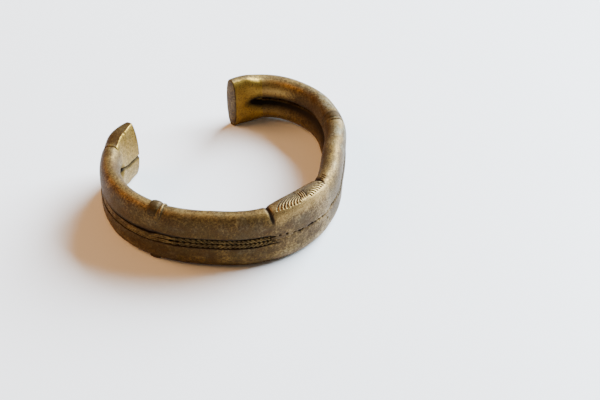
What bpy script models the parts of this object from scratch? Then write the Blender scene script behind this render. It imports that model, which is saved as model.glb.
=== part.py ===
"""Open cuff bracelet in aged brass, built up from the members that a maker joins.

Two rounded rails run round the wrist, one above the other, from an engraved middle to a
solid block at each tip. Two twisted cords lie in the channel between the rails, and rings
bind the rails halfway along each arm.

Frame: metres, +Z up. The cuff stands on its lower rails on z = 0, the engraved middle faces
-Y, the opening for the wrist faces +Y, and the origin is under the middle of the footprint.
A place on the band is (along, outward, up): the length along the middle line from the
engraved middle, positive to +X, then the distances from that line and from mid-height.
"""

import bisect
import math

import bmesh
import bpy
from mathutils import Vector

MM = 0.001

# The bent band, every 25 degrees of bearing round the plan centre: bearing, then the
# radius of the middle line, the height of the band and the lift of its underside.
# It is bent and cast by hand, so the two arms differ a little.
BAND = (
    (-150, 26.2 * MM, 17.0 * MM, 0.0 * MM),
    (-125, 31.1 * MM, 16.8 * MM, 0.0 * MM),
    (-100, 32.4 * MM, 17.1 * MM, 0.0 * MM),
    (-75, 30.2 * MM, 16.8 * MM, 0.0 * MM),
    (-50, 27.7 * MM, 16.7 * MM, 0.0 * MM),
    (-25, 27.8 * MM, 16.8 * MM, 0.0 * MM),
    (0, 28.1 * MM, 17.0 * MM, 0.0 * MM),
    (25, 27.4 * MM, 16.0 * MM, 0.0 * MM),
    (50, 26.8 * MM, 15.3 * MM, 0.0 * MM),
    (75, 30.0 * MM, 14.5 * MM, 0.0 * MM),
    (100, 32.3 * MM, 13.5 * MM, 0.4 * MM),
    (125, 31.0 * MM, 13.6 * MM, 0.5 * MM),
    (150, 24.0 * MM, 14.6 * MM, 0.8 * MM),
)
ANGLE, RADIUS, HEIGHT, LIFT = range(4)
SAMPLES_PER_DEGREE = 4

# Where the members start and end along the middle line, the same on both arms.
GAP = 0.3 * MM
BLOCK_END = 9.0 * MM
TERMINAL_START = 65.3 * MM
LEFT_TIP = 75.6 * MM
RIGHT_TIP = 74.6 * MM
STATION_STEP = 3.8 * MM

# Section of a rail: a rounded lobe, cut off at mid-height and notched by the channel.
RAIL_HALF_WIDTH = 2.72 * MM
LOBE_SHARE = 0.263
ROUNDNESS = 2.3
CHANNEL_HALF_HEIGHT = 1.65 * MM
CHANNEL_FLOOR = 0.7 * MM
LOBE_POINTS = 15

# Shallow notches where one member meets the next.
NOTCH_DEPTH = 0.8 * MM
NOTCH_LENGTH = 0.8 * MM

# The engraved middle stands a little proud of the rails.
BLOCK_SWELL = 0.25 * MM

# The blocks at the tips: one tall rounded section, split by a slit inside. The left one
# is filed on its inner side, so its middle moves outward towards the tip.
LEFT_TIP_HALF_WIDTH = 2.7 * MM
RIGHT_TIP_HALF_WIDTH = 2.1 * MM
LEFT_TIP_SHIFT = 0.4 * MM
TERMINAL_ROUNDNESS = 2.2
TERMINAL_POINTS = 24
SLIT_DEPTH = 1.5 * MM
SLIT_FADE = 6.5 * MM

# Rings round the rails: distance of each from the middle, its width and its thickness.
BROAD_RING = (38.0 * MM, 2.8 * MM, 1.0 * MM)
NARROW_RING = (35.4 * MM, 0.9 * MM, 0.75 * MM)
RING_STEPS = 9
SEAT_DEPTH = 0.5 * MM
SEAT_START = 34.2 * MM
SEAT_END = 40.2 * MM
SEAT_SLOPE = 0.6 * MM
UPPER_RING_ARC = (-8, 200)
LOWER_RING_ARC = (-12, 62)
RING_END_SCALE = 0.45

# Twisted cords: two side by side in each arm's channel, of two strands each.
CORD_START = 9.6 * MM
CORD_END = 61.0 * MM
TWIST_END = 27.0 * MM
CORD_OUT = 1.72 * MM
CORD_UP = 0.8 * MM
STRAND_ORBIT = 0.37 * MM
STRAND_RADIUS = 0.29 * MM
LAY_LENGTH = 2.5 * MM
POINTS_PER_TURN = 6
PLAIN_STEP = 3.3 * MM

# Colour (linear), roughness and metallic value of each member's brass.
BRASS = {
    "rail_brass": ((0.17, 0.105, 0.045), 0.42, 1.0),
    "engraved_brass": ((0.21, 0.14, 0.065), 0.45, 1.0),
    "terminal_brass": ((0.24, 0.155, 0.05), 0.40, 1.0),
    "ring_brass": ((0.19, 0.12, 0.055), 0.42, 1.0),
    "cord_brass": ((0.13, 0.08, 0.035), 0.50, 1.0),
}


def smooth_between(before, start, end, after, t):
    """Catmull-Rom value between start and end, for t from 0 to 1."""
    first = 0.5 * (end - before)
    second = before - 2.5 * start + 2.0 * end - 0.5 * after
    third = 0.5 * (after - before) + 1.5 * (start - end)
    return start + t * (first + t * (second + t * third))


def band_value(bearing, column):
    """Radius, height or lift of the band at a bearing in degrees."""
    step = BAND[1][ANGLE] - BAND[0][ANGLE]
    index = int((bearing - BAND[0][ANGLE]) // step)
    index = min(max(index, 0), len(BAND) - 2)
    start = BAND[index][column]
    end = BAND[index + 1][column]
    before = BAND[index - 1][column] if index > 0 else 2 * start - end
    after = BAND[index + 2][column] if index + 2 < len(BAND) else 2 * end - start
    return smooth_between(before, start, end, after, (bearing - BAND[index][ANGLE]) / step)


def middle_point(bearing):
    """The middle line in plan, measured from the plan centre."""
    radius = band_value(bearing, RADIUS)
    turn = math.radians(bearing)
    return Vector((radius * math.sin(turn), -radius * math.cos(turn), 0))


def outward_at(bearing):
    """Unit vector that points out of the band, in plan."""
    half_step = 0.5
    run = middle_point(bearing + half_step) - middle_point(bearing - half_step)
    return Vector((run.y, -run.x, 0)).normalized()


def outer_reach(length):
    """How far the outer face lies from the middle line at a length along it."""
    if abs(length) < BLOCK_END:
        return RAIL_HALF_WIDTH + BLOCK_SWELL
    if length < -TERMINAL_START:
        share = (-length - TERMINAL_START) / (LEFT_TIP - TERMINAL_START)
        tip_reach = LEFT_TIP_HALF_WIDTH + LEFT_TIP_SHIFT
        return RAIL_HALF_WIDTH + share * (tip_reach - RAIL_HALF_WIDTH)
    return RAIL_HALF_WIDTH


def measured_band():
    """Bearings along the band, the length along it at each, and the footprint's centre."""
    count = (BAND[-1][ANGLE] - BAND[0][ANGLE]) * SAMPLES_PER_DEGREE
    bearings = [BAND[0][ANGLE] + i / SAMPLES_PER_DEGREE for i in range(count + 1)]
    points = [middle_point(bearing) for bearing in bearings]
    lengths = [0.0]
    for here, there in zip(points, points[1:]):
        lengths.append(lengths[-1] + (there - here).length)
    zero = lengths[bearings.index(0)]
    lengths = [length - zero for length in lengths]
    rim = []
    for point, bearing, length in zip(points, bearings, lengths):
        if -LEFT_TIP <= length <= RIGHT_TIP:
            rim.append(point + outer_reach(length) * outward_at(bearing))
    middle_x = (min(p.x for p in rim) + max(p.x for p in rim)) / 2
    middle_y = (min(p.y for p in rim) + max(p.y for p in rim)) / 2
    return bearings, lengths, Vector((middle_x, middle_y, 0))


BEARINGS, LENGTHS, FOOTPRINT_CENTRE = measured_band()


def bearing_at(along):
    """Bearing of a place on the band, from its length along the middle line."""
    index = min(max(bisect.bisect(LENGTHS, along), 1), len(LENGTHS) - 1)
    span = LENGTHS[index] - LENGTHS[index - 1]
    share = (along - LENGTHS[index - 1]) / span
    return BEARINGS[index - 1] + share * (BEARINGS[index] - BEARINGS[index - 1])


def height_at(along):
    return band_value(bearing_at(along), HEIGHT)


def on_band(along, outward, up):
    """World point of a place on the band. The underside is worn flat at the band's lift."""
    bearing = bearing_at(along)
    lift = band_value(bearing, LIFT)
    point = middle_point(bearing) + outward * outward_at(bearing) - FOOTPRINT_CENTRE
    point.z = max(lift + band_value(bearing, HEIGHT) / 2 + up, lift, 0)
    return point


def rounded(angle, half_width, half_height, roundness):
    """A point of a superellipse about (0, 0), by its angle in radians."""
    cosine = math.cos(angle)
    sine = math.sin(angle)
    across = math.copysign(abs(cosine) ** (2 / roundness), cosine)
    upward = math.copysign(abs(sine) ** (2 / roundness), sine)
    return half_width * across, half_height * upward


def lobe_angle(drop, half_height):
    """Angle below the lobe's middle at which its side has dropped by this much."""
    return math.asin(min(drop / half_height, 1.0) ** (ROUNDNESS / 2))


def lobe_size(height):
    """Half height of a rail's lobe and its middle above mid-height. The underside's flat
    takes a little off the lower one, so both reach slightly past the band's height."""
    half_height = LOBE_SHARE * height + GAP / 2
    return half_height, height / 2 + GAP / 2 - half_height


def half_section(height, trim, swell, lip):
    """Outline (outward, up) of an upper rail or block. lip is the height above mid-height
    at which its outer side ends: the channel's edge, or the seam on a block."""
    half_height, middle = lobe_size(height)
    start = -lobe_angle(middle - lip, half_height)
    end = math.pi + lobe_angle(middle - GAP / 2, half_height)
    outline = []
    for i in range(LOBE_POINTS):
        angle = start + (end - start) * i / (LOBE_POINTS - 1)
        outward, up = rounded(
            angle, RAIL_HALF_WIDTH + swell - trim, half_height + swell - trim, ROUNDNESS
        )
        up += middle
        outline.append((outward, max(up, GAP / 2)))
    if lip > GAP / 2:
        outline.append((CHANNEL_FLOOR, GAP / 2))
        outline.append((CHANNEL_FLOOR, outline[0][1]))
    return outline


def terminal_section(height, half_width, slit):
    """Outline of a tip block: one tall rounded shape with a slit in its inner side."""
    outline = []
    for i in range(TERMINAL_POINTS):
        angle = 2 * math.pi * (i + 0.5) / TERMINAL_POINTS
        outline.append(rounded(angle, half_width, height / 2, TERMINAL_ROUNDNESS))
    inner_end = TERMINAL_POINTS // 2
    outline.insert(inner_end, (slit - half_width, 0.0))
    return outline


def brass(slot):
    material = bpy.data.materials.get(slot)
    if material is None:
        colour, roughness, metallic = BRASS[slot]
        material = bpy.data.materials.new(slot)
        material.use_nodes = True
        shader = material.node_tree.nodes["Principled BSDF"]
        shader.inputs["Base Color"].default_value = (*colour, 1.0)
        shader.inputs["Roughness"].default_value = roughness
        shader.inputs["Metallic"].default_value = metallic
    return material


def loft(name, rings, slot, collection):
    """One closed body through rings of points, which all hold the same number of points."""
    model = bmesh.new()
    rows = [[model.verts.new(point) for point in ring] for ring in rings]
    size = len(rows[0])
    for row, next_row in zip(rows, rows[1:]):
        for i in range(size):
            j = (i + 1) % size
            model.faces.new((row[i], row[j], next_row[j], next_row[i]))
    model.faces.new(rows[0])
    model.faces.new(rows[-1])
    bmesh.ops.remove_doubles(model, verts=model.verts, dist=1e-6)
    bmesh.ops.recalc_face_normals(model, faces=model.faces)
    mesh = bpy.data.meshes.new(name)
    model.to_mesh(mesh)
    model.free()
    mesh.shade_smooth()
    mesh.set_sharp_from_angle(angle=math.radians(40))
    mesh.materials.append(brass(slot))
    piece = bpy.data.objects.new(name, mesh)
    collection.objects.link(piece)
    return piece


def stations(start, end, step):
    """Even places from start to end, no further apart than step."""
    count = max(1, math.ceil((end - start) / step))
    return [start + (end - start) * i / count for i in range(count + 1)]


def end_notch(along, start, end):
    """How much the section is trimmed at the two ends of a member."""
    to_end = min(along - start, end - along)
    return NOTCH_DEPTH * max(0.0, 1 - to_end / NOTCH_LENGTH)


def seat_trim(along):
    """How much the rail is necked under its rings."""
    inside = min(along - SEAT_START, SEAT_END - along)
    return SEAT_DEPTH * min(1.0, max(0.0, 1 + inside / SEAT_SLOPE))


def half_member(name, side, level, start, end, extra, swell, lip, slot, collection):
    """A rail or a half of the middle block. level is 1 above the seam and -1 below it,
    side is 1 for the arm on +X and -1 for the arm on -X, and start and end are the
    distances from the middle. extra lists more stations between them."""
    ends = [start, start + NOTCH_LENGTH, end - NOTCH_LENGTH, end]
    places = sorted(set(ends[:1] + stations(ends[1], ends[2], STATION_STEP) + ends[3:] + extra))
    rings = []
    for along in places:
        trim = end_notch(along, start, end)
        if extra:
            trim += seat_trim(along)
        outline = half_section(height_at(side * along), trim, swell, lip)
        rings.append([on_band(side * along, out, level * up) for out, up in outline])
    return loft(name, rings, slot, collection)


def rail(side, level, collection):
    name = f"{'upper' if level > 0 else 'lower'}_{'right' if side > 0 else 'left'}_rail"
    seat = [SEAT_START - SEAT_SLOPE, SEAT_START, SEAT_END, SEAT_END + SEAT_SLOPE]
    return half_member(
        name,
        side,
        level,
        BLOCK_END + GAP / 2,
        TERMINAL_START - GAP / 2,
        seat,
        0.0,
        CHANNEL_HALF_HEIGHT,
        "rail_brass",
        collection,
    )


def middle_block(level, collection):
    name = "upper_engraved_block" if level > 0 else "lower_middle_block"
    end = BLOCK_END - GAP / 2
    return half_member(
        name, 1, level, -end, end, [], BLOCK_SWELL, GAP / 2, "engraved_brass", collection
    )


def terminal(side, collection):
    """A tip block. Its thickness falls towards the tip, and its slit fades before it."""
    name = f"{'right' if side > 0 else 'left'}_terminal"
    tip = RIGHT_TIP if side > 0 else LEFT_TIP
    tip_half_width = RIGHT_TIP_HALF_WIDTH if side > 0 else LEFT_TIP_HALF_WIDTH
    tip_shift = 0.0 if side > 0 else LEFT_TIP_SHIFT
    start = TERMINAL_START + GAP / 2
    places = [start, start + NOTCH_LENGTH] + stations(start + 2 * NOTCH_LENGTH, tip, 2 * MM)
    rings = []
    for along in places:
        share = (along - start) / (tip - start)
        trim = NOTCH_DEPTH * max(0.0, 1 - (along - start) / NOTCH_LENGTH)
        half_width = RAIL_HALF_WIDTH + share * (tip_half_width - RAIL_HALF_WIDTH) - trim
        slit = SLIT_DEPTH * max(0.0, 1 - (along - start) / SLIT_FADE)
        height = height_at(side * along) - 2 * trim
        outline = terminal_section(height, half_width, slit)
        shift = share * tip_shift
        rings.append([on_band(side * along, out + shift, up) for out, up in outline])
    return loft(name, rings, "terminal_brass", collection)


def ring_section(width, thickness):
    """Outline (along, out) of a ring's strip: flat against the rail and domed outside."""
    half_width = width / 2
    half_thickness = thickness / 2
    return (
        (-half_width, -half_thickness),
        (half_width, -half_thickness),
        (0.95 * half_width, 0.2 * half_thickness),
        (0.55 * half_width, 0.85 * half_thickness),
        (0.0, half_thickness),
        (-0.55 * half_width, 0.85 * half_thickness),
        (-0.95 * half_width, 0.2 * half_thickness),
    )


def collar_ring(kind, side, level, size, collection):
    """A strip bent round a rail's lobe, tapered at both ends. An upper one passes over the
    top from the outer face to the inner one. A lower one is worn away underneath, so it
    holds only the outer shoulder."""
    place, width, thickness = size
    name = f"{'upper' if level > 0 else 'lower'}_{'right' if side > 0 else 'left'}_{kind}_ring"
    first, last = UPPER_RING_ARC if level > 0 else LOWER_RING_ARC
    half_height, middle = lobe_size(height_at(side * place))
    stand_off = GAP - SEAT_DEPTH + thickness / 2
    rings = []
    for i in range(RING_STEPS):
        share = i / (RING_STEPS - 1)
        angle = math.radians(first + (last - first) * share)
        fade = RING_END_SCALE + (1 - RING_END_SCALE) * math.sin(math.pi * share) ** 0.5
        points = []
        for along, out in ring_section(width * fade, thickness):
            reach = stand_off + (out + thickness / 2) * fade - thickness / 2
            outward, up = rounded(
                angle, RAIL_HALF_WIDTH + reach, half_height + reach, ROUNDNESS
            )
            points.append(on_band(side * (place + along), outward, level * (middle + up)))
        rings.append(points)
    return loft(name, rings, "ring_brass", collection)


def strand_points(side, level, phase):
    """Middle line of one strand: it winds round its cord up to TWIST_END, and then lies
    straight, where the cord is worn. The two cords wind opposite ways."""
    twist = stations(CORD_START, TWIST_END, LAY_LENGTH / POINTS_PER_TURN)
    plain = stations(TWIST_END, CORD_END, PLAIN_STEP)[1:]
    points = []
    for along in twist + plain:
        turns = (min(along, TWIST_END) - TWIST_END) / LAY_LENGTH
        angle = phase + 2 * math.pi * turns
        outward = CORD_OUT + STRAND_ORBIT * math.cos(angle)
        up = level * (CORD_UP + STRAND_ORBIT * math.sin(angle))
        points.append(on_band(side * along, outward, up))
    return points


def strand(side, level, number, collection):
    arm = "right" if side > 0 else "left"
    cord = "upper" if level > 0 else "lower"
    name = f"{arm}_{cord}_cord_strand_{number + 1}"
    points = strand_points(side, level, math.pi * number)
    curve = bpy.data.curves.new(name, "CURVE")
    curve.dimensions = "3D"
    curve.bevel_depth = STRAND_RADIUS
    curve.bevel_resolution = 2
    curve.use_fill_caps = True
    spline = curve.splines.new("POLY")
    spline.points.add(len(points) - 1)
    for spot, point in zip(spline.points, points):
        spot.co = (*point, 1.0)
    curve.materials.append(brass("cord_brass"))
    piece = bpy.data.objects.new(name, curve)
    collection.objects.link(piece)
    return piece


def build():
    for leftover in list(bpy.data.objects):
        bpy.data.objects.remove(leftover)
    collection = bpy.data.collections.new("bangle_bracelet")
    bpy.context.scene.collection.children.link(collection)
    for level in (1, -1):
        middle_block(level, collection)
    for side in (-1, 1):
        terminal(side, collection)
        for level in (1, -1):
            rail(side, level, collection)
            collar_ring("broad", side, level, BROAD_RING, collection)
            collar_ring("narrow", side, level, NARROW_RING, collection)
            for number in (0, 1):
                strand(side, level, number, collection)


build()
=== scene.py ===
import math

import bpy
import numpy as np
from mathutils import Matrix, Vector


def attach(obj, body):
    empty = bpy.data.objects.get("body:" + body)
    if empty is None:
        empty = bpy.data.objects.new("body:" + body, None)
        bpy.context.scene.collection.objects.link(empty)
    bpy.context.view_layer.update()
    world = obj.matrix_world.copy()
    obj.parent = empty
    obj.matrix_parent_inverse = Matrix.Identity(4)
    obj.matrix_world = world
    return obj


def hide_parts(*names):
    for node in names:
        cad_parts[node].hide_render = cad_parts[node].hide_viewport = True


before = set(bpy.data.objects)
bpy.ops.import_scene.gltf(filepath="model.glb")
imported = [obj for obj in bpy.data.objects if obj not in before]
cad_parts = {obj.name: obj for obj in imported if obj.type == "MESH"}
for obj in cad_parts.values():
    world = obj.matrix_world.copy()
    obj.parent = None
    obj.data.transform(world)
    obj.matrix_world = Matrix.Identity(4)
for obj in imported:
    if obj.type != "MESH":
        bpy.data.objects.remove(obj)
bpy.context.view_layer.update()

MM = 0.001

# Lengths below are in millimetres and become metres where meshes are made. A place on the
# band is (along, outward, up), as in the part's source. This is the same band: bearing,
# radius of the middle line, height and lift.
BAND = np.array(
    [
        (-150, 26.2, 17.0, 0.0),
        (-125, 31.1, 16.8, 0.0),
        (-100, 32.4, 17.1, 0.0),
        (-75, 30.2, 16.8, 0.0),
        (-50, 27.7, 16.7, 0.0),
        (-25, 27.8, 16.8, 0.0),
        (0, 28.1, 17.0, 0.0),
        (25, 27.4, 16.0, 0.0),
        (50, 26.8, 15.3, 0.0),
        (75, 30.0, 14.5, 0.0),
        (100, 32.3, 13.5, 0.4),
        (125, 31.0, 13.6, 0.5),
        (150, 24.0, 14.6, 0.8),
    ]
)
FOOTPRINT_CENTRE = np.array((-0.052, -2.913))

# Ends of the members along the band, and the half width of a rail.
BLOCK_END = 9.0
TERMINAL_START = 65.3
LEFT_TIP = 75.6
RIGHT_TIP = 74.6
TIP_ROUNDING = 0.3
LEFT_TIP_TALLER = 1.3
RIGHT_TIP_TALLER = 1.8
HALF_WIDTH = 2.72

# A rail's lobe: its half height from the band's height, and the roundness of its outer
# top, inner top, inner low and outer low quarters.
LOBE_SHARE = 0.263
LOBE_EXTRA = 0.15
ROUNDNESS = (2.3, 2.25, 1.8, 5.0)
LOBE_FIRST = -1.35
LOBE_LAST = math.pi + 1.32

# The underside is worn flat just above the table, over this much of its curve.
UNDERSIDE = 0.03
FLATTENED = 0.25


# ---------------------------------------------------------------- small maths


def step(low, high, x):
    """Smooth step from 0 at low to 1 at high."""
    t = np.clip((np.asarray(x, float) - low) / (high - low), 0.0, 1.0)
    return t * t * (3 - 2 * t)


def bump(x, centre, width):
    return np.exp(-(((x - centre) / width) ** 2))


def lattice(cell, seed):
    """A fixed value from -1 to 1 for each whole-number cell."""
    mixed = cell[..., 0] * 374761393 + cell[..., 1] * 668265263 + cell[..., 2] * 2147483647
    mixed = (mixed + seed * 1274126177) & 0xFFFFFFFF
    mixed = ((mixed ^ (mixed >> 13)) * 1274126177) & 0xFFFFFFFF
    mixed = mixed ^ (mixed >> 16)
    return (mixed & 0xFFFF) / 32767.5 - 1.0


def noise(points, size, seed):
    """Smooth value noise from about -1 to 1, for points in millimetres."""
    scaled = points / size
    cell = np.floor(scaled).astype(np.int64)
    part = scaled - cell
    part = part * part * part * (part * (part * 6 - 15) + 10)
    total = np.zeros(points.shape[:-1])
    for corner in np.ndindex(2, 2, 2):
        corner = np.array(corner)
        weight = np.prod(np.where(corner, part, 1 - part), axis=-1)
        total += weight * lattice(cell + corner, seed)
    return total


def rough(points, size, seed, octaves=3):
    """Layers of noise, each half as large and half as strong."""
    total = 0.0
    for layer in range(octaves):
        total = total + noise(points, size / 2**layer, seed + layer * 17) / 2**layer
    return total


# ---------------------------------------------------------------- the band


def band_value(bearing, column):
    bearing = np.asarray(bearing, float)
    values = BAND[:, column]
    values = np.concatenate([[2 * values[0] - values[1]], values, [2 * values[-1] - values[-2]]])
    span = BAND[1, 0] - BAND[0, 0]
    index = np.clip(np.floor((bearing - BAND[0, 0]) / span).astype(int), 0, len(BAND) - 2)
    t = (bearing - BAND[index, 0]) / span
    a, b, c, d = values[index], values[index + 1], values[index + 2], values[index + 3]
    first = 0.5 * (c - a)
    second = a - 2.5 * b + 2.0 * c - 0.5 * d
    third = 0.5 * (d - a) + 1.5 * (b - c)
    return b + t * (first + t * (second + t * third))


def middle_point(bearing):
    radius = band_value(bearing, 1)
    turn = np.radians(bearing)
    return np.stack([radius * np.sin(turn), -radius * np.cos(turn)], axis=-1)


BEARINGS = np.linspace(-156, 156, 1249)
STEPS = np.hypot(*np.diff(middle_point(BEARINGS), axis=0).T)
LENGTHS = np.concatenate([[0.0], np.cumsum(STEPS)])
LENGTHS -= LENGTHS[624]


def bearing_at(along):
    return np.interp(along, LENGTHS, BEARINGS)


def height_at(along):
    return band_value(bearing_at(along), 2)


def on_band(along, outward, up):
    """Points from places on the band, in millimetres. The underside is worn flat."""
    bearing = bearing_at(along)
    run = middle_point(bearing + 0.5) - middle_point(bearing - 0.5)
    out = np.stack([run[..., 1], -run[..., 0]], axis=-1)
    out /= np.linalg.norm(out, axis=-1, keepdims=True)
    plan = middle_point(bearing) + np.asarray(outward)[..., None] * out - FOOTPRINT_CENTRE
    lift = np.maximum(band_value(bearing, 3), 0)
    z = lift + height_at(along) / 2 + up
    flat = UNDERSIDE + lift * (1 - step(64, 73, along))
    curved = flat + FLATTENED * np.exp((z - flat - FLATTENED) / FLATTENED)
    z = np.where(z < flat + FLATTENED, curved, z)
    return np.concatenate([plan, np.asarray(z)[..., None]], axis=-1)


# ---------------------------------------------------------------- sections


def lobe(height, angle, half_width, powers):
    """Outline of an upper lobe, by angle: 0 is outside and 90 degrees is on top. powers
    are the roundness of its quarters: outer top, inner top, inner low and outer low."""
    half_height = LOBE_SHARE * height + LOBE_EXTRA
    middle = height / 2 + LOBE_EXTRA - half_height
    cosine, sine = np.cos(angle), np.sin(angle)
    above = np.where(cosine >= 0, powers[0], powers[1])
    below = np.where(cosine >= 0, powers[3], powers[2])
    power = np.where(sine >= 0, above, below)
    outward = half_width * np.sign(cosine) * np.abs(cosine) ** (2 / power)
    up = middle + half_height * np.sign(sine) * np.abs(sine) ** (2 / power)
    return np.broadcast_arrays(outward, up)


def resample(outward, up, count):
    """The same outline at an even spacing, for many stations at once."""
    run = np.hypot(np.diff(outward, axis=1), np.diff(up, axis=1))
    length = np.concatenate([np.zeros((len(run), 1)), np.cumsum(run, axis=1)], axis=1)
    even = np.linspace(0, 1, count)
    new_outward = np.empty((len(run), count))
    new_up = np.empty((len(run), count))
    for i in range(len(run)):
        where = length[i] / length[i, -1]
        new_outward[i] = np.interp(even, where, outward[i])
        new_up[i] = np.interp(even, where, up[i])
    return new_outward, new_up


def upper_half(outward, up, count):
    """The part of each row above mid-height, at an even spacing."""
    rows = []
    for row_out, row_up in zip(outward, up):
        kept = row_up >= -0.02
        rows.append(resample(row_out[kept][None], row_up[kept][None], count))
    return np.concatenate([row[0] for row in rows]), np.concatenate([row[1] for row in rows])


def section_normals(outward, up):
    run_out = np.gradient(outward, axis=1)
    run_up = np.gradient(up, axis=1)
    size = np.maximum(np.hypot(run_out, run_up), 1e-9)
    return run_up / size, -run_out / size


CORD_END = 63.0

# Edges of the cord channel, above and below mid-height, at places out from the middle.
# Past the rings the channel is worn and lies lower.
LIP_PLACE = (9.0, 9.8, 12.0, 30.0, 34.0, 36.5, 39.0, 62.0)
LIP_ABOVE = (1.50, 1.75, 1.82, 1.85, 1.80, 1.60, 1.02, 0.95)
LIP_BELOW = (1.00, 1.30, 1.42, 1.42, 1.40, 1.45, 1.72, 1.72)
FLOOR_OUT = 1.1

# How much fuller the right arm's rails are inside, above and below.
FULLER_ABOVE = 0.35
FULLER_BELOW = 0.95


def lip_at(along, level):
    table = LIP_ABOVE if level > 0 else LIP_BELOW
    worn_shut = 0.75 * (1 - step(12.0, 17.0, np.asarray(along))) * (np.asarray(along) > 0)
    return np.interp(np.abs(along), LIP_PLACE, table) * (1 - worn_shut)


def rail_outline(along, level, count):
    """Outline of a rail from the channel's floor, over its edge, round to the inner seam."""
    height = height_at(along)[:, None]
    lip = lip_at(along, level)[:, None]
    turn = np.linspace(LOBE_FIRST, LOBE_LAST, 700)[None, :]
    outward, up = lobe(height, turn, HALF_WIDTH, ROUNDNESS)
    fuller = step(9, 18, along) * (1 - step(34, 48, along)) * (FULLER_BELOW if level < 0 else FULLER_ABOVE)
    outward = outward - fuller[:, None] * step(0.0, 2.0, -outward)
    rows_out, rows_up = [], []
    edges = 0.16 + (0.55 * step(30, 38, np.abs(along)) if level > 0 else 0 * along)
    for i, edge in enumerate(edges):
        inner = outward[i] < 0
        kept = np.where(inner, up[i] >= -0.02, up[i] >= lip[i] + edge)
        face_out = outward[i][kept]
        face_up = up[i][kept]
        t = np.linspace(0, 1, 12)[:-1]
        corner_out = np.interp(lip[i], up[i][:300], outward[i][:300])
        start_out = corner_out - edge
        curve_out = (1 - t) ** 2 * start_out + 2 * t * (1 - t) * corner_out + t * t * face_out[0]
        curve_up = (1 - t) ** 2 * lip[i] + 2 * t * (1 - t) * lip[i] + t * t * face_up[0]
        wall = np.linspace(FLOOR_OUT, start_out.item(), 6)[:-1]
        row_out = np.concatenate([wall, curve_out, face_out])
        row_up = np.concatenate([np.full(5, lip[i].item()), curve_up, face_up])
        rows_out.append(row_out)
        rows_up.append(row_up)
    new = [resample(o[None], u[None], count) for o, u in zip(rows_out, rows_up)]
    return np.concatenate([n[0] for n in new]), np.concatenate([n[1] for n in new])


def block_outline(along, level, count):
    """Outline of half of the middle block, from the outer seam to the inner one."""
    height = height_at(along)[:, None]
    inside = 1 - np.abs(along[:, None] / BLOCK_END) ** 6
    turn = np.linspace(LOBE_FIRST, LOBE_LAST, 900)[None, :]
    roundness = (*ROUNDNESS[:3], ROUNDNESS[3] + 3 * inside)
    outward, up = lobe(height, turn, HALF_WIDTH + 0.15 * inside, roundness)
    if level > 0:
        swell = 1 - np.abs(along[:, None] / BLOCK_END) ** 2.5
        up = up * (1 + 0.07 * swell)
        outward = outward - 0.9 * swell * step(1.0, 5.5, up) * step(-0.5, 1.8, -outward)
    return upper_half(outward, up, count)


# ---------------------------------------------------------------- relief


def surface_angle(outward, up, height):
    """Degrees round a lobe: 0 faces out, 90 is on top and 180 faces in."""
    half_height = LOBE_SHARE * height + LOBE_EXTRA
    middle = height / 2 + LOBE_EXTRA - half_height
    return np.degrees(np.arctan2((up - middle) / half_height, outward / HALF_WIDTH)) % 360


def hand_made(points):
    """Unevenness of the cast and worn metal, in millimetres."""
    slow = noise(points, 9.0, 3) * 0.10 + noise(points, 4.2, 5) * 0.05
    fine = rough(points, 1.5, 11) * 0.016
    return slow + fine


def notch(along, angle, level):
    """Depth of the cuts across the upper rail beside the middle block, and the painted shade inside them.
    """
    if level < 0:
        return np.zeros(along.shape), np.zeros(along.shape)
    reach = step(12, 40, angle) * (1 - 0.65 * step(108, 135, angle)) * (angle < 250)
    left = bump(along, -9.25 + np.clip(95 - angle, 0, 90) * 0.010, 0.40) * reach
    wide = 0.22 + 0.45 * step(75, 120, angle)
    shift = 8.7 + 0.2 * step(60, 120, angle)
    right = bump(along, shift, wide) * step(55, 85, angle) * (1 - step(160, 210, angle))
    depth = 0.6 * left + (0.40 + 0.45 * step(80, 110, angle)) * right
    return depth, np.clip(2.2 * (left + right), 0, 0.9)


# Pits in the outer face: along, up, half length, half height and depth.
PITS = (
    (-8.45, 0.25, 0.50, 0.13, 0.3),
    (-8.40, -0.45, 0.60, 0.13, 0.3),
    (-8.20, -1.15, 0.90, 0.17, 0.4),
    (-8.8, 1.15, 0.75, 0.26, 0.7),
    (-7.0, 1.2, 0.28, 0.24, 0.4),
    (2.8, -0.1, 0.3, 0.2, 0.4),
    (-3.4, 0.4, 0.3, 0.2, 0.4),
    (-46.5, 0.95, 0.7, 0.25, 0.4),
    (-36.8, 1.6, 0.5, 0.3, 0.5),
    (-5.2, 0.95, 0.32, 0.26, 0.5),
    (-1.9, 0.05, 0.30, 0.30, 0.6),
    (-1.2, 0.15, 0.45, 0.22, 0.5),
    (0.6, 0.05, 0.25, 0.25, 0.5),
    (1.5, 0.1, 0.60, 0.30, 0.6),
    (3.9, -0.05, 0.35, 0.22, 0.4),
    (5.4, -0.2, 0.35, 0.2, 0.4),
    (7.4, -2.3, 0.28, 0.28, 0.3),
    (8.8, -4.2, 0.25, 0.3, 0.3),
    (-54.0, 0.85, 0.8, 0.45, 0.5),
    (-51.8, 0.85, 0.7, 0.45, 0.5),
    (-41.3, 0.9, 0.8, 0.5, 0.6),
    (-39.6, 1.0, 0.6, 0.5, 0.6),
)


def pits(along, up, outer):
    """Depth of the casting pits. outer is 1 on the outer face."""
    depth = np.zeros(np.broadcast(along, up).shape)
    for place, at, half_length, half_height, deep in PITS:
        distance = ((along - place) / half_length) ** 2 + ((up - at) / half_height) ** 2
        depth += deep * np.exp(-(distance**1.5))
    return depth * outer


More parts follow.
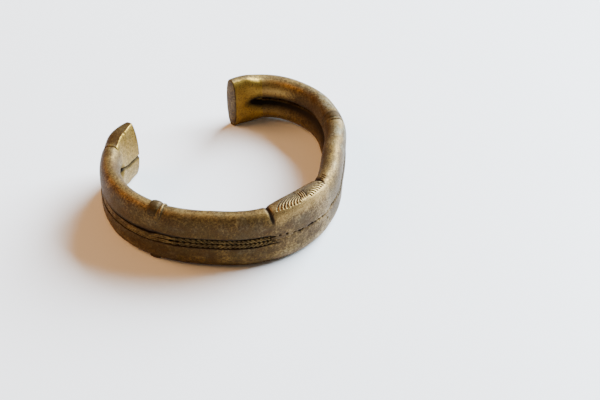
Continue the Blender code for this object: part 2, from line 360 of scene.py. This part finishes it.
def groove(along, across, path, width):
    """Closeness to a stroke of the graver, a path of (along, across) points."""
    best = np.full(along.shape, 9.0)
    for (x0, y0), (x1, y1) in zip(path, path[1:]):
        run_x, run_y = x1 - x0, y1 - y0
        size = run_x * run_x + run_y * run_y
        t = np.clip(((along - x0) * run_x + (across - y0) * run_y) / size, 0, 1)
        gap = np.hypot(along - x0 - t * run_x, across - y0 - t * run_y)
        best = np.minimum(best, gap)
    return np.exp(-((best / width) ** 2))


def strokes():
    """Two mirrored fans of nested arcs, with short slanted strokes between and beside."""
    paths = []
    for number, reach in enumerate((1.2, 2.05, 2.9, 3.75, 4.6, 5.45, 6.3, 7.15)):
        for way in (-1, 1):
            path = []
            for i in range(9):
                turn = math.radians(5 + 10 * i)
                along = 0.7 + way * (0.6 + reach * math.cos(turn))
                angle = 56 + (19 + 7.2 * number) * math.sin(turn)
                path.append((along, angle))
            paths.append(path)
    for start in (-0.2, 0.4, 1.0, 1.6):
        paths.append([(start - 0.25, 66), (start + 0.05, 84), (start + 0.3, 108)])
    for start in (9.6, 10.35, 11.1):
        paths.append([(start - 0.1, 84), (start + 0.15, 96), (start + 0.2, 108)])
    return paths


STROKES = strokes()
STROKE_WIDTH = 0.15
STROKE_DEPTH = 0.27
# Millimetres of surface for a degree round the lobe.
DEGREE = 0.066

# The pitted seam between the halves of the middle, as (along, up) points.
SEAM_WIDTH = 0.17
SEAM_DEPTH = 0.15
SEAM = ((-5.4, 1.0), (-4.0, 0.5), (-2.0, 0.1), (0.6, 0.05), (2.2, 0.1), (5.6, -0.2), (9.0, -0.5))


def engraving(along, angle):
    """Closeness to the engraved strokes, from 0 to 1."""
    total = np.zeros(along.shape)
    for path in STROKES:
        flat = [(x, a * DEGREE) for x, a in path]
        total = np.maximum(total, groove(along, angle * DEGREE, flat, STROKE_WIDTH))
    return total


def rubbed(along, outward):
    """Brightness of the inner faces near the tips, which clothes and skin polish."""
    inner = step(0.4, 1.6, -outward)
    left = 0.65 * step(56, 67, -along) * (1 - step(75.1, 75.5, -along))
    right = 1.15 * step(46, 66, along) * (1 - step(74.0, 74.5, along))
    return inner * (left + right)


def verdigris(along, angle, points, level):
    """Amount of green corrosion: patches on top of the right arm, and a trace elsewhere."""
    right = step(10, 26, along) * (1 - step(45, 60, along)) * bump(angle, 60, 50) * (level > 0)
    patch = step(-0.3, 0.7, rough(points, 2.6, 41))
    return np.clip(0.75 * right * patch + 0.12 * step(0.1, 0.9, rough(points, 3.2, 43)), 0, 1)


# ---------------------------------------------------------------- meshes


def make_mesh(name, grid, values, material):
    """One closed body through rows of points. values holds a number per point by name."""
    rows, columns = grid.shape[:2]
    points = grid.reshape(-1, 3) * MM
    index = np.arange(rows * columns).reshape(rows, columns)
    nxt = np.roll(index, -1, axis=1)
    faces = np.stack([index[:-1], nxt[:-1], nxt[1:], index[1:]], axis=-1).reshape(-1, 4)
    faces = [tuple(int(v) for v in face) for face in faces]
    faces.append(tuple(int(v) for v in index[0][::-1]))
    faces.append(tuple(int(v) for v in index[-1]))
    mesh = bpy.data.meshes.new(name)
    mesh.from_pydata(points.tolist(), [], faces)
    for label, value in values.items():
        layer = mesh.attributes.new(label, "FLOAT", "POINT")
        full = np.broadcast_to(value, (rows, columns)).astype(np.float32)
        layer.data.foreach_set("value", np.ascontiguousarray(full).ravel())
    mesh.shade_smooth()
    mesh.set_sharp_from_angle(angle=math.radians(50))
    mesh.materials.append(material)
    piece = bpy.data.objects.new(name, mesh)
    bpy.context.scene.collection.objects.link(piece)
    return piece


def fix_normals(piece):
    """Turn a body's faces outward, judged by the sign of its volume."""
    mesh = piece.data
    count = len(mesh.vertices)
    points = np.empty(count * 3)
    mesh.vertices.foreach_get("co", points)
    points = points.reshape(-1, 3)
    mesh.calc_loop_triangles()
    tris = np.empty(len(mesh.loop_triangles) * 3, dtype=np.int32)
    mesh.loop_triangles.foreach_get("vertices", tris)
    a, b, c = points[tris.reshape(-1, 3)].transpose(1, 0, 2)
    if np.einsum("ij,ij->i", a, np.cross(b, c)).sum() < 0:
        mesh.flip_normals()


def keep(piece, node):
    """Puts a finished piece in the place of its node."""
    fix_normals(piece)
    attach(piece, "root")
    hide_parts(node)
    return piece


# ---------------------------------------------------------------- materials


SPECK_COLOUR = (0.022, 0.011, 0.003)
CRUST_COLOUR = (0.155, 0.170, 0.125)
# Near black for dirt and for painted shade.
SOIL_AND_SHADE_COLOUR = (0.016, 0.010, 0.006)


def brass(name, dark, middle, bright):
    """Aged brass. It is dark or middle where it is patinated, bright where it is worn or painted with a
    highlight, and near black where it is dirty or painted with shade.
    """
    material = bpy.data.materials.new(name)
    material.use_nodes = True
    tree = material.node_tree
    nodes, links = tree.nodes, tree.links
    shader = nodes["Principled BSDF"]
    where = nodes.new("ShaderNodeTexCoord")

    def texture(scale, detail, roughness=0.55):
        node = nodes.new("ShaderNodeTexNoise")
        node.inputs["Scale"].default_value = scale
        node.inputs["Detail"].default_value = detail
        node.inputs["Roughness"].default_value = roughness
        links.new(where.outputs["Object"], node.inputs["Vector"])
        return node.outputs["Fac"]

    def ramp(source, low, high, to_low=0.0, to_high=1.0):
        node = nodes.new("ShaderNodeMapRange")
        node.interpolation_type = "SMOOTHSTEP"
        node.inputs["From Min"].default_value = low
        node.inputs["From Max"].default_value = high
        node.inputs["To Min"].default_value = to_low
        node.inputs["To Max"].default_value = to_high
        links.new(source, node.inputs["Value"])
        return node.outputs["Result"]

    def maths(kind, a, b):
        node = nodes.new("ShaderNodeMath")
        node.operation = kind
        node.use_clamp = True
        for socket, value in zip(node.inputs, (a, b)):
            if isinstance(value, float):
                socket.default_value = value
            else:
                links.new(value, socket)
        return node.outputs["Value"]

    def mix(factor, a, b):
        node = nodes.new("ShaderNodeMix")
        node.data_type = "RGBA"
        links.new(factor, node.inputs["Factor"])
        for socket, value in ((node.inputs[6], a), (node.inputs[7], b)):
            if isinstance(value, tuple):
                socket.default_value = (*value, 1.0)
            else:
                links.new(value, socket)
        return node.outputs[2]

    def attribute(label):
        node = nodes.new("ShaderNodeAttribute")
        node.attribute_name = label
        return node.outputs["Fac"]

    # Bright metal comes from wear and from painted highlights; near black comes from dirt and from painted
    # shade.
    wear_and_highlight = attribute("wear_and_highlight")
    dirt_and_shade = attribute("dirt_and_shade")
    green = attribute("verdigris")
    patches = texture(260.0, 6.0, 0.65)
    mottle = texture(1700.0, 6.0, 0.75)
    grain = texture(2600.0, 4.0, 0.75)
    colour = mix(ramp(patches, 0.2, 0.8), dark, middle)
    worn_or_highlit = maths("ADD", wear_and_highlight, ramp(mottle, 0.36, 0.66, -0.26, 0.26))
    worn_or_highlit = ramp(worn_or_highlit, 0.0, 1.15)
    colour = mix(worn_or_highlit, colour, bright)
    speck = ramp(grain, 0.50, 0.66, 0.0, 0.7)
    colour = mix(speck, colour, SPECK_COLOUR)
    crust = maths("MULTIPLY", green, ramp(mottle, 0.38, 0.62))
    colour = mix(crust, colour, CRUST_COLOUR)
    # Near black over dirt and over painted shade, with a little random soiling.
    soil_and_shade = maths("ADD", dirt_and_shade, ramp(mottle, 0.55, 0.8, 0.0, 0.25))
    soil_and_shade = maths("MULTIPLY", soil_and_shade, ramp(dirt_and_shade, 0.02, 0.25))
    colour = mix(soil_and_shade, colour, SOIL_AND_SHADE_COLOUR)
    links.new(colour, shader.inputs["Base Color"])
    metal = maths("SUBTRACT", ramp(worn_or_highlit, 0.0, 1.0, 0.55, 0.9), maths("MULTIPLY", soil_and_shade, 0.5))
    metal = maths("SUBTRACT", metal, maths("MULTIPLY", crust, 0.6))
    links.new(metal, shader.inputs["Metallic"])
    gloss = ramp(worn_or_highlit, 0.0, 1.0, 0.56, 0.38)
    gloss = maths("ADD", gloss, ramp(grain, 0.4, 0.75, 0.0, 0.16))
    gloss = maths("ADD", gloss, maths("MULTIPLY", soil_and_shade, 0.4))
    shader.inputs["Specular IOR Level"].default_value = 0.2
    links.new(gloss, shader.inputs["Roughness"])
    relief = nodes.new("ShaderNodeBump")
    relief.inputs["Strength"].default_value = 0.8
    relief.inputs["Distance"].default_value = 0.00015
    texture_height = maths("ADD", maths("MULTIPLY", grain, 0.5), maths("MULTIPLY", mottle, 0.5))
    links.new(texture_height, relief.inputs["Height"])
    links.new(relief.outputs["Normal"], shader.inputs["Normal"])
    return material


# Each brass has a dark and a middle patina, and the bright metal where it is worn or painted with a
# highlight.
RAIL_DARK, RAIL_MIDDLE = (0.050, 0.0215, 0.0034), (0.061, 0.0370, 0.0090)
BLOCK_DARK, BLOCK_MIDDLE = (0.054, 0.0255, 0.0065), (0.068, 0.0415, 0.0125)
RING_DARK, RING_MIDDLE = (0.034, 0.0165, 0.0024), (0.048, 0.029, 0.0065)
CORD_DARK, CORD_MIDDLE = (0.040, 0.0210, 0.0040), (0.060, 0.037, 0.0090)

RAIL = brass("aged_rail_brass", RAIL_DARK, RAIL_MIDDLE, (0.31, 0.193, 0.056))
ENGRAVED = brass("aged_engraved_brass", BLOCK_DARK, BLOCK_MIDDLE, (0.32, 0.206, 0.074))
TIP = brass("aged_terminal_brass", RAIL_DARK, RAIL_MIDDLE, (0.37, 0.230, 0.042))
RING = brass("aged_ring_brass", RING_DARK, RING_MIDDLE, (0.31, 0.20, 0.070))
CORD = brass("aged_cord_brass", CORD_DARK, CORD_MIDDLE, (0.22, 0.14, 0.045))


# ---------------------------------------------------------------- pieces


def finish_rows(along, outward, up, level):
    """Relief, then points and, for each, its wear and painted highlight, its dirt and painted shade, and
    its verdigris.
    """
    s = np.repeat(along[:, None], outward.shape[1], axis=1)
    height = height_at(s)
    angle = surface_angle(outward, up, height)
    normal_out, normal_up = section_normals(outward, up)
    plain = on_band(s, outward, level * up)
    outer = step(0.9, 1.8, outward)
    inner = step(0.9, 1.8, -outward)
    unevenness = hand_made(plain)
    cut, cut_shade = notch(s, angle, level)
    hole = pits(s, level * up, outer)
    wander = 0.25 * noise(plain, 0.8, 27)
    seam = outer * groove(s, level * up + wander, SEAM, SEAM_WIDTH) * (np.abs(s) < BLOCK_END)
    seam = seam * step(-0.1, 0.35, noise(plain, 0.6, 23))
    # A shallow valley inside the right arm, where its rails meet.
    hollow = step(0.3, 1.0, -outward) * bump(up, 0.0, 1.6) * step(16, 26, s) * 0.4
    relief = unevenness - cut - hole - SEAM_DEPTH * seam - hollow
    inside_channel = (outward < 2.0) & (outward > 0) & (up < 2.0)
    if level > 0:
        stroke = engraving(s, angle) * (np.abs(s) < 12.5)
    else:
        stroke = np.zeros(s.shape)
    relief = relief - STROKE_DEPTH * stroke
    relief = np.where(inside_channel, np.minimum(relief, 0.0), relief)
    new_out = outward + relief * normal_out
    new_up = up + relief * normal_up
    points = on_band(s, new_out, level * new_up)
    # Darker along the inner valley between the rails, more so on the right arm, and in the pits and
    # engraved strokes; in the cuts beside the middle block the darkening is painted shade.
    valley = inner * bump(up, 0.0, 2.3)
    dirt_and_shade = (0.9 + 0.3 * step(16, 26, s)) * valley + cut_shade + np.clip(hole * 3, 0, 1)
    dirt_and_shade = dirt_and_shade + 1.4 * stroke**1.5
    # Painted shadow: a dark band along each rail's lip over the cord channel, where the rail's edge shades
    # the cords, stronger on the upper rails and wider there past the rings. The rail's faces inside the
    # channel are painted dark as shade too.
    lip_shadow_width = 0.2 + (0.65 * step(30, 38, np.abs(s)) if level > 0 else 0)
    lip_shadow = outer * bump(up, lip_at(s, level), lip_shadow_width)
    lip_shadow = lip_shadow * (np.abs(s) > BLOCK_END) * (np.abs(s) < CORD_END)
    dirt_and_shade = dirt_and_shade + (1.4 if level > 0 else 0.6) * lip_shadow + 1.0 * inside_channel
    dirt_and_shade = np.clip(dirt_and_shade + 0.7 * seam, 0, 1)
    # Brighter metal on top of each upper rail, on the outer face of each lower rail, on the middle block's
    # upper shoulder and on the outer faces near it: partly wear, partly painted highlight.
    top = bump(angle, 75, 38) if level > 0 else 0.15 + 0.4 * bump(angle, 20, 30)
    wear_and_highlight = 0.45 * top + 0.15 * rough(plain, 2.5, 31) + 1.2 * np.clip(unevenness, -0.2, 0.2)
    if level > 0:
        wear_and_highlight = wear_and_highlight + 0.45 * bump(s, 0.5, 9) * bump(angle, 50, 30)
    wear_and_highlight = wear_and_highlight + 0.28 * outer * (1 - step(5, 16, np.abs(s)))
    wear_and_highlight = np.clip(wear_and_highlight + rubbed(s, outward), 0, 1)
    green = verdigris(s, angle, plain, level)
    return points, {"wear_and_highlight": wear_and_highlight, "dirt_and_shade": dirt_and_shade, "verdigris": green}


def close_rows(points, values, extra):
    """Adds the hidden points inside the band that close each row."""
    grid = np.concatenate([points, extra], axis=1)
    count = extra.shape[1]
    full = {}
    for label, value in values.items():
        filler = np.zeros((len(value), count))
        full[label] = np.concatenate([value, filler], axis=1)
    return grid, full


def rail(side, level):
    """One arm's upper or lower rail, with the channel's half that it holds."""
    arm = "right" if side > 0 else "left"
    layer = "upper" if level > 0 else "lower"
    near = np.linspace(BLOCK_END, 12.8, 45)
    far = np.linspace(13, TERMINAL_START, 205)
    along = side * np.concatenate([near, far])
    outward, up = rail_outline(along, level, 104)
    points, values = finish_rows(along, outward, up, level)
    inside = np.stack(
        [
            on_band(along, np.full(len(along), FLOOR_OUT - 0.6), np.zeros(len(along))),
            on_band(along, np.full(len(along), FLOOR_OUT), np.full(len(along), level * -0.02)),
        ],
        axis=1,
    )
    grid, values = close_rows(points, values, inside)
    piece = make_mesh(f"{layer}_{arm}_rail_metal", grid, values, RAIL)
    return keep(piece, f"{layer}_{arm}_rail")


def block(level):
    """The upper or lower half of the middle block."""
    name = "upper_engraved_block" if level > 0 else "lower_middle_block"
    along = np.linspace(-BLOCK_END, BLOCK_END, 190 if level > 0 else 120)
    outward, up = block_outline(along, level, 250 if level > 0 else 150)
    points, values = finish_rows(along, outward, up, level)
    inside = on_band(along, np.zeros(len(along)), np.zeros(len(along)))[:, None, :]
    grid, values = close_rows(points, values, inside)
    piece = make_mesh(f"{name}_metal", grid, values, ENGRAVED)
    return keep(piece, name)


def terminal(side):
    """A tip block: the two rails grow into one tall section, filed to a facet on the left."""
    arm = "right" if side > 0 else "left"
    tip = RIGHT_TIP if side > 0 else LEFT_TIP
    tip_width = 2.1 if side > 0 else 2.6
    last_places = tip - np.array([0.2, 0.12, 0.06, 0.0])
    places = np.concatenate([np.linspace(TERMINAL_START, tip - TIP_ROUNDING, 60), last_places])
    along = side * places
    share = ((places - TERMINAL_START) / (tip - TERMINAL_START))[:, None]
    height = height_at(along)[:, None]
    count = 110
    turn = np.linspace(LOBE_FIRST, LOBE_LAST, 900)[None, :]
    half_width = HALF_WIDTH + share * (tip_width - HALF_WIDTH)
    blend = step(0.0, 0.22 if side < 0 else 0.75, share)
    inner_power = 2.25 + (0.0 if side < 0 else 2.0) * blend
    roundness = (ROUNDNESS[0] - 0.3 * blend, inner_power, *ROUNDNESS[2:])
    outward, up = upper_half(*lobe(height, turn, half_width, roundness), count)
    edge = -1.7 + 0.9 * share - 0.25 * step(0.45, 0.6, share) * (1 - step(0.6, 0.9, share))
    if side < 0:
        quarter = np.linspace(0, math.pi / 2, 450)[None, :]
        out_width = HALF_WIDTH + 0.8 * bump(share, 0.55, 0.35) - 0.75 * share**6
        top_out = edge + (out_width - edge) * np.abs(np.cos(quarter)) ** 0.5
        top_up = height / 2 * np.abs(np.sin(quarter)) ** 0.5 - 0.12 * (top_out - edge) / 3
        drop = np.linspace(1, 0, 450)[None, 1:]
        curve = (1 - np.sqrt(1 - 0.92 * drop**2)) / (1 - math.sqrt(0.08))
        face_out = -half_width + (half_width + edge) * curve
        tall_out = np.concatenate([top_out, face_out], axis=1)
        tall_up = np.concatenate([top_up.clip(0), height / 2 * drop], axis=1)
    else:
        angle = np.linspace(0, math.pi, 900)[None, :]
        power = np.where(np.cos(angle) >= 0, 2.3, 2.8)
        tall_out = half_width * np.sign(np.cos(angle)) * np.abs(np.cos(angle)) ** (2 / power)
        tall_up = height / 2 * np.abs(np.sin(angle)) ** (2 / power)
    tall_out, tall_up = resample(tall_out, tall_up, count)
    outward = outward * (1 - blend) + tall_out * blend
    up = up * (1 - blend) + tall_up * blend
    into_rounding = (places - tip + TIP_ROUNDING).clip(0) / TIP_ROUNDING
    rounding = 0.2 * (1 - np.sqrt(np.clip(1 - into_rounding**2, 0, 1)))
    outward = outward * (1 - rounding[:, None] / half_width)
    up = up * (1 - rounding[:, None] / (height / 2))
    taller = LEFT_TIP_TALLER if side < 0 else RIGHT_TIP_TALLER
    up = up * (1 + taller / height * step(0.0, 0.6, share))
    s = np.repeat(along[:, None], count, axis=1)
    normal_out, normal_up = section_normals(outward, up)
    halves = []
    for level in (1, -1):
        plain = on_band(s, outward, level * up)
        relief = hand_made(plain)
        ring_angle = surface_angle(outward, up, height)
        reach = step(35, 60, ring_angle) * (1 - step(118, 140, ring_angle)) * (level > 0)
        start_cut = bump(np.abs(s), TERMINAL_START + 0.1, 0.24) * reach * (0.75 * (side < 0))
        ending = 1 - step(64.5, 73.5, s)
        low = -1.35 * step(66.5, 70.5, -s)
        slit_mask = step(0.9, 1.8, -outward) * ending
        slit = slit_mask * bump(level * up, low, 0.36)
        if side > 0:
            valley_width = 1.6 - 0.8 * step(0.0, 0.6, share)
            slit = step(0.3, 1.0, -outward) * ending * 0.44 * bump(up, 0.0, valley_width)
        crest = bump(outward, edge, 0.2) * step(0.90, 0.97, 2 * up / height) * (level > 0)
        small = bump(np.abs(s), 71.2, 0.28) * crest * 0.4 * (side < 0)
        relief = relief - 0.8 * start_cut - slit * 0.9 - small
        new_out = outward + relief * normal_out
        new_up = up + relief * normal_up
        points = on_band(s, new_out, level * new_up)
        inner = step(0.9, 1.8, -outward) * (1 - blend)
        end_face = 0.3 * (np.abs(s) > tip - 0.04)
        # Darker along the slit on the inner face of each tip, and along the inner valley where the rails
        # still show.
        slit_dark_width = 0.5 if side < 0 else 0.8
        slit_dark = slit_mask * np.clip(1.3 * bump(level * up, low - 0.12, slit_dark_width), 0, 0.85)
        valley = (0.9 if side < 0 else 1.2) * inner * bump(up, 0.0, 2.3)
        dirt_and_shade = np.clip(start_cut * 1.5 + slit_dark + 1.5 * small + valley + end_face, 0, 1)
        top = bump(ring_angle, 75, 38) if level > 0 else bump(ring_angle, 20, 30) * 0.5
        wear_and_highlight = 0.45 * top + 0.15 * rough(plain, 2.5, 31) + 1.2 * np.clip(hand_made(plain), -0.2, 0.2)
        face = np.where(side < 0, -3.0 * step(0.35, 0.75, -normal_out), outward)
        # Brighter metal along the left tip's crest: partly edge wear, partly a painted highlight.
        wear_and_highlight = np.clip(wear_and_highlight * (1 - 0.7 * blend) + rubbed(s, face) + 0.6 * crest * (side < 0), 0, 1)
        wear_and_highlight = np.where(np.abs(s) > tip - 0.04, 0.3, wear_and_highlight)
        green = verdigris(s, ring_angle, plain, level)
        halves.append((points, {"wear_and_highlight": wear_and_highlight, "dirt_and_shade": dirt_and_shade, "verdigris": green}))
    (top_points, top_values), (low_points, low_values) = halves
    grid = np.concatenate([top_points, low_points[:, ::-1]], axis=1)
    values = {}
    for label, value in top_values.items():
        values[label] = np.concatenate([value, low_values[label][:, ::-1]], axis=1)
    piece = make_mesh(f"{arm}_terminal_metal", grid, values, TIP)
    return keep(piece, f"{arm}_terminal")


# The hidden underside of a ring lies this deep in its rail.
RING_SUNK = 0.5


def ring(kind, side, level):
    """A worn strip round a rail. It fades into the rail at both ends."""
    arm = "right" if side > 0 else "left"
    layer = "upper" if level > 0 else "lower"
    place, width, tall = (37.9, 3.1, 0.56) if kind == "broad" else (35.8, 1.0, 0.42)
    if level < 0:
        tall = 0.62 if kind == "broad" else 0.12
    if side > 0:
        tall = tall * (0.75 if kind == "broad" else 0.5)
    first, last = (12, 205) if level > 0 else (30, 88)
    share = np.linspace(0, 1, 120)
    turn = np.radians(first + (last - first) * share)
    fade = step(0, 0.5 if kind == "broad" else 0.32, share) * (1 - step(0.75, 1.0, share))
    across = np.linspace(-1, 1, 36)
    rows, wear_rows, dirt_rows = [], [], []
    for angle, part in zip(turn, fade):
        half = width / 2 * (0.75 + 0.25 * part)
        along = side * (place + across * half)
        height = height_at(along)
        outward, up = lobe(height, np.full(len(across), angle), HALF_WIDTH, ROUNDNESS)
        dome = (1 - np.abs(across) ** 3.2) ** 0.9
        grow = tall * part * dome - 0.06 * (1 - part * dome)
        centre = height / 2 + LOBE_EXTRA - (LOBE_SHARE * height + LOBE_EXTRA)
        length = np.hypot(outward, up - centre)
        plain = on_band(along, outward, level * up)
        grow = grow + hand_made(plain)
        high_out = outward * (1 + grow / length)
        high_up = centre + (up - centre) * (1 + grow / length)
        top = on_band(along, high_out, level * high_up)
        low_out = (outward * (1 - RING_SUNK / length))[::-1]
        low_up = (centre + (up - centre) * (1 - RING_SUNK / length))[::-1]
        rows.append(np.concatenate([top, on_band(along[::-1], low_out, level * low_up)]))
        # Brighter metal along the narrow ring's crest and a trace on the broad ring, weaker on the right
        # arm: partly wear, partly a painted highlight.
        crest = bump(across, -0.1, 0.45) if kind == "narrow" else 0.15 * bump(across, -0.6, 0.3)
        crest = crest * (0.3 if side > 0 else 1.0)
        wear_rows.append(np.concatenate([crest * part, np.zeros(len(across))]))
        # Darker towards both edges of each ring.
        dirt_rows.append(np.concatenate([0.35 * part * np.abs(across) ** 6, np.zeros(len(across))]))
    wear_and_highlight = np.array(wear_rows)
    values = {"wear_and_highlight": wear_and_highlight, "dirt_and_shade": np.array(dirt_rows), "verdigris": wear_and_highlight * 0}
    piece = make_mesh(f"{layer}_{arm}_{kind}_ring_metal", np.array(rows), values, RING)
    return keep(piece, f"{layer}_{arm}_{kind}_ring")


# The lay of the cords, the length of one turn, at places along an arm.
LAY_PLACES = (9.6, 16.0, 24.0, 33.0)
LAYS = (2.0, 2.1, 2.6, 3.3)


def twist_at(along):
    """Turns of a cord from its inner end to a place on an arm."""
    fine = np.linspace(9.6, 34.0, 600)
    rate = 1 / np.interp(fine, LAY_PLACES, LAYS)
    turns = np.concatenate([[0.0], np.cumsum((rate[1:] + rate[:-1]) / 2 * np.diff(fine))])
    return np.interp(along, fine, turns)


# A strand is rubbed flat where it would stand further out than this.
CORD_LIMIT = 2.60
CORD_EASE = 0.2


def strand(side, level, number):
    """One wire of a cord: twisted with its twin near the middle, and laid flat beside it
    past the rings."""
    arm = "right" if side > 0 else "left"
    cord = "upper" if level > 0 else "lower"
    start = 9.3 if level > 0 else 9.05
    places = np.concatenate([np.arange(start, 34.0, 0.09), np.arange(34.0, CORD_END, 0.25)])
    plain = step(29.0, 33.0, places)
    past = step(35.5, 39.0, places)
    turns = twist_at(places)
    angle = 2 * math.pi * (turns - turns[-1]) + math.pi * number + math.pi / 2
    orbit = 0.33 * (1 - plain) + 0.28 * plain
    radius = (0.35 if level > 0 else 0.365) * (1 - plain) + 0.262 * plain
    if level > 0:
        centre_up = 0.58 - 0.78 * past
    else:
        centre_up = -0.74 - 0.40 * past
    sunk = 2.02 if level > 0 else 2.14
    outward = sunk + 0.17 * np.cos(angle) * (1 - plain) + 0.12 * plain
    up = centre_up + level * orbit * np.sin(angle)
    sides = 16
    around = np.linspace(0, 2 * math.pi, sides, endpoint=False)[None, :]
    s = np.repeat(side * places[:, None], sides, axis=1)
    round_out = outward[:, None] + radius[:, None] * np.cos(around)
    round_up = up[:, None] + radius[:, None] * np.sin(around) * 1.05
    plain_points = on_band(s, round_out, round_up)
    round_out = round_out + 0.05 * rough(plain_points, 0.9, 71)
    rubbed_flat = CORD_LIMIT - CORD_EASE * np.exp((CORD_LIMIT - CORD_EASE - round_out) / CORD_EASE)
    round_out = np.where(round_out > CORD_LIMIT - CORD_EASE, rubbed_flat, round_out)
    points = on_band(s, round_out, round_up)
    # Darker the further in a strand's surface lies and on the side of each strand turned in, partly dirt
    # and partly painted shade; past the rings, a painted shadow on the upper strands close under the upper
    # rail's lip.
    deep = 1 - step(1.85, 2.28, round_out)
    deep = np.maximum(deep, 1.4 * bump(round_up, 0.5, 0.35) * past[:, None])
    deep = np.maximum(deep, 0.8 * (1 - step(0.1, 0.8, (round_out - outward[:, None]) / radius[:, None])))
    crest = step(0.3, 1.0, (round_out - outward[:, None]) / radius[:, None])
    wear_and_highlight = np.clip((0.35 + 0.2 * plain[:, None]) * crest + 0.2 * rough(points, 2.0, 61), 0, 1)
    values = {"wear_and_highlight": wear_and_highlight, "dirt_and_shade": np.clip(0.5 * deep, 0, 1), "verdigris": wear_and_highlight * 0}
    piece = make_mesh(f"{arm}_{cord}_cord_strand_{number + 1}_metal", points, values, CORD)
    return keep(piece, f"{arm}_{cord}_cord_strand_{number + 1}")


for level in (1, -1):
    block(level)
for side in (-1, 1):
    terminal(side)
    for level in (1, -1):
        rail(side, level)
        ring("broad", side, level)
        ring("narrow", side, level)
        for number in (0, 1):
            strand(side, level, number)


# ---------------------------------------------------------------- floor, light, camera


def table_top():
    """A pale, faintly clouded table."""
    mesh = bpy.data.meshes.new("table_top")
    reach = 3.0
    corners = [(-reach, -reach, 0), (reach, -reach, 0), (reach, reach, 0), (-reach, reach, 0)]
    mesh.from_pydata(corners, [], [(0, 1, 2, 3)])
    material = bpy.data.materials.new("pale_table")
    material.use_nodes = True
    nodes, links = material.node_tree.nodes, material.node_tree.links
    shader = nodes["Principled BSDF"]
    where = nodes.new("ShaderNodeTexCoord")
    cloud = nodes.new("ShaderNodeTexNoise")
    cloud.inputs["Scale"].default_value = 14.0
    cloud.inputs["Detail"].default_value = 4.0
    links.new(where.outputs["Object"], cloud.inputs["Vector"])
    tint = nodes.new("ShaderNodeMix")
    tint.data_type = "RGBA"
    tint.inputs[6].default_value = (0.875, 0.87, 0.875, 1.0)
    tint.inputs[7].default_value = (0.93, 0.925, 0.93, 1.0)
    links.new(cloud.outputs["Fac"], tint.inputs["Factor"])
    links.new(tint.outputs[2], shader.inputs["Base Color"])
    shader.inputs["Roughness"].default_value = 0.35
    mesh.materials.append(material)
    floor = bpy.data.objects.new("table_top", mesh)
    bpy.context.scene.collection.objects.link(floor)
    return floor


def area_light(name, place, size, power, colour):
    """A rectangular light at a place, in metres and watts, facing the origin."""
    light = bpy.data.lights.new(name, "AREA")
    light.shape = "RECTANGLE"
    light.size, light.size_y = size
    light.energy = power
    light.color = colour
    lamp = bpy.data.objects.new(name, light)
    lamp.location = place
    lamp.rotation_euler = (-Vector(place)).to_track_quat("-Z", "Y").to_euler()
    bpy.context.scene.collection.objects.link(lamp)


# Dim warm light from the room, and a camera that looks down at about 43 degrees. The lens
# is in millimetres and the places are in metres.
ROOM_COLOUR = (1.0, 0.78, 0.57, 1.0)
ROOM_STRENGTH = 0.20
CAMERA_PLACE = (-0.20305, -0.26979, 0.3115)
CAMERA_TARGET = (0.01113, -0.01204, 0.0)
LENS = 103.74

table_top()
area_light("window", (1.00, -0.05, 0.66), (1.0, 0.85), 124.0, (0.76, 0.89, 1.0))
area_light("lamp", (-0.60, 0.60, 0.75), (0.7, 0.7), 12.0, (1.0, 0.50, 0.17))

world = bpy.data.worlds.new("room")
world.use_nodes = True
background = world.node_tree.nodes["Background"]
background.inputs["Color"].default_value = ROOM_COLOUR
background.inputs["Strength"].default_value = ROOM_STRENGTH
bpy.context.scene.world = world

camera_data = bpy.data.cameras.new("camera")
camera_data.lens = LENS
camera_data.sensor_width = 36.0
camera_data.clip_start = 0.01
camera = bpy.data.objects.new("camera", camera_data)
camera.location = CAMERA_PLACE
aim = Vector(CAMERA_TARGET) - camera.location
camera.rotation_euler = aim.to_track_quat("-Z", "Y").to_euler()
bpy.context.scene.collection.objects.link(camera)
bpy.context.scene.camera = camera
